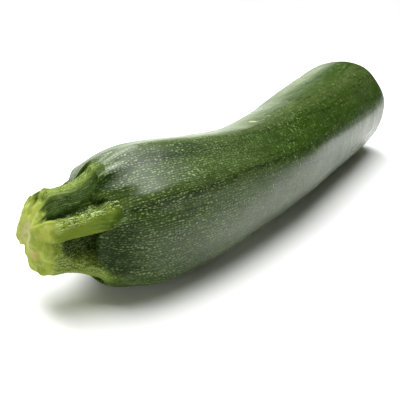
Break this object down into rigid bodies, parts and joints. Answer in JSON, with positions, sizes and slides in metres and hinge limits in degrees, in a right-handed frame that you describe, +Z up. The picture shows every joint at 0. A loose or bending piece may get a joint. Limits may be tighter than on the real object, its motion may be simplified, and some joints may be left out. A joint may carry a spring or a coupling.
{
  "type": "courgette",
  "caption": "Dark green courgette lying on its side, gently bent, with flecked glossy skin, soft ridges and a ribbed pale green stub of stalk",
  "frame": {"origin": "on the surface the courgette lies on, under the middle of its bounding box", "axes": "+Z up; +X along the courgette from the stalk to the blossom end; it bends in the XY plane, bulging towards -Y"},
  "size_m": [0.1974, 0.0552, 0.0464],
  "materials": {
    "fruit_skin": "waxy dark green vegetable skin with rows of pale flecks",
    "stem_skin": "matt yellow-green stalk, finely streaked and hairy"
  },
  "bodies": {
    "root": {"fruit": "fruit_skin", "stem": "stem_skin"}
  },
  "joints": []
}
